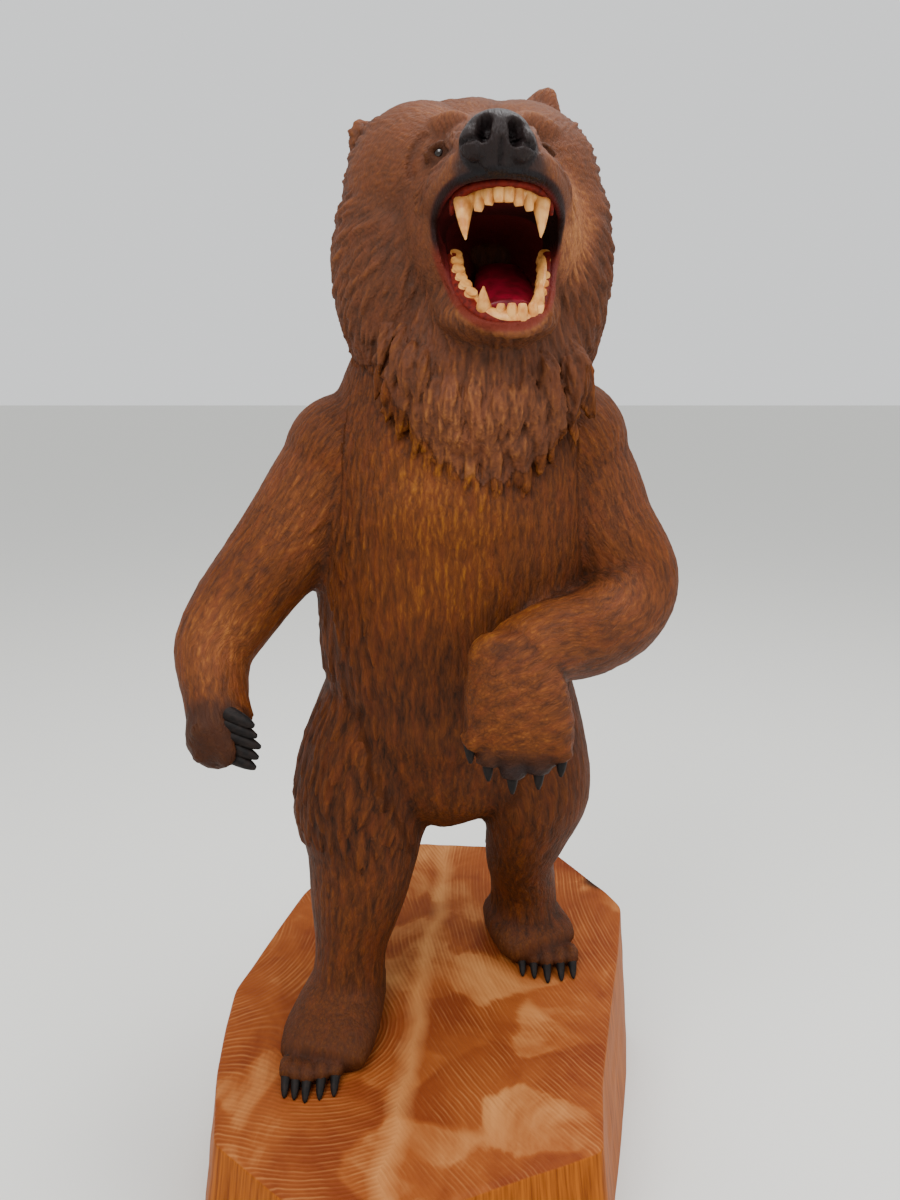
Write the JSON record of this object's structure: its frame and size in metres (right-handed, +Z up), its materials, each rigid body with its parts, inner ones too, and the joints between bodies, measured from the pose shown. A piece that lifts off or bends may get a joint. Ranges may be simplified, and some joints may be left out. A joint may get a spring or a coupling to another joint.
{
  "type": "carved bear statue",
  "caption": "Striding, roaring bear carved in one with its sloping log base, stained brown, with bared teeth, black claws and a shaggy mane.",
  "frame": {"origin": "on the flat underside of the base, under the middle of the bear's stance", "axes": "+Z up along the standing bear, -Y the way the bear strides and roars, +X to the viewer's right"},
  "size_m": [0.4599, 0.5318, 1.0075],
  "materials": {
    "wood": "satin"
  },
  "bodies": {
    "root": {"carved_bear": "wood"}
  },
  "joints": []
}
